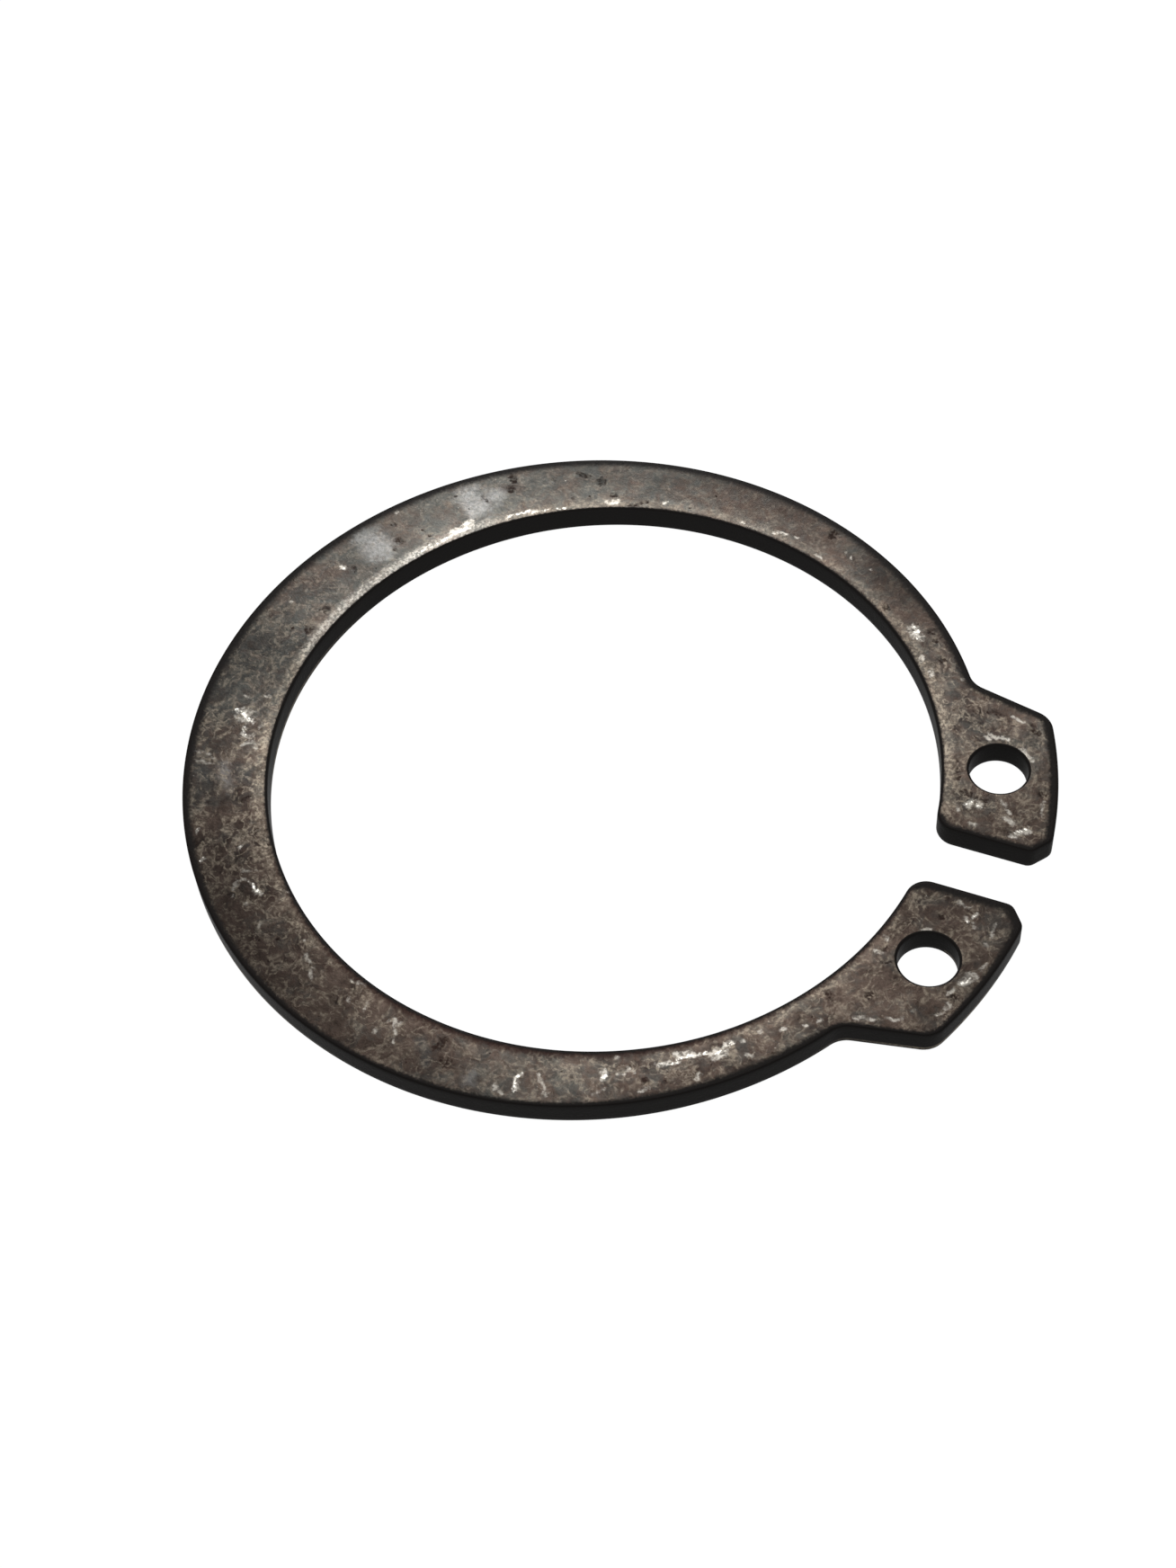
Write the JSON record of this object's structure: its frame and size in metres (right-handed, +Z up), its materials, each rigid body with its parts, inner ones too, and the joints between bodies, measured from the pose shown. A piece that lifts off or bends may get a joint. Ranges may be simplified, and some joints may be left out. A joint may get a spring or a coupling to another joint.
{
  "type": "external retaining ring",
  "caption": "Open stamped ring with a tapered band and two eared lugs with plier holes, which snaps into a shaft's groove to hold a part in place.",
  "frame": {"origin": "centre of the bore, on the bottom face that the ring lies on", "axes": "+Z up along the bore's axis, out of the face with the rolled edges; +X from the bore's centre to the middle of the gap"},
  "size_m": [0.0384, 0.0354, 0.0012],
  "materials": {
    "spring_steel": "dark brown-grey phosphate patina, mottled and lightly worn"
  },
  "bodies": {
    "root": {"retaining_ring": "spring_steel"}
  },
  "joints": []
}
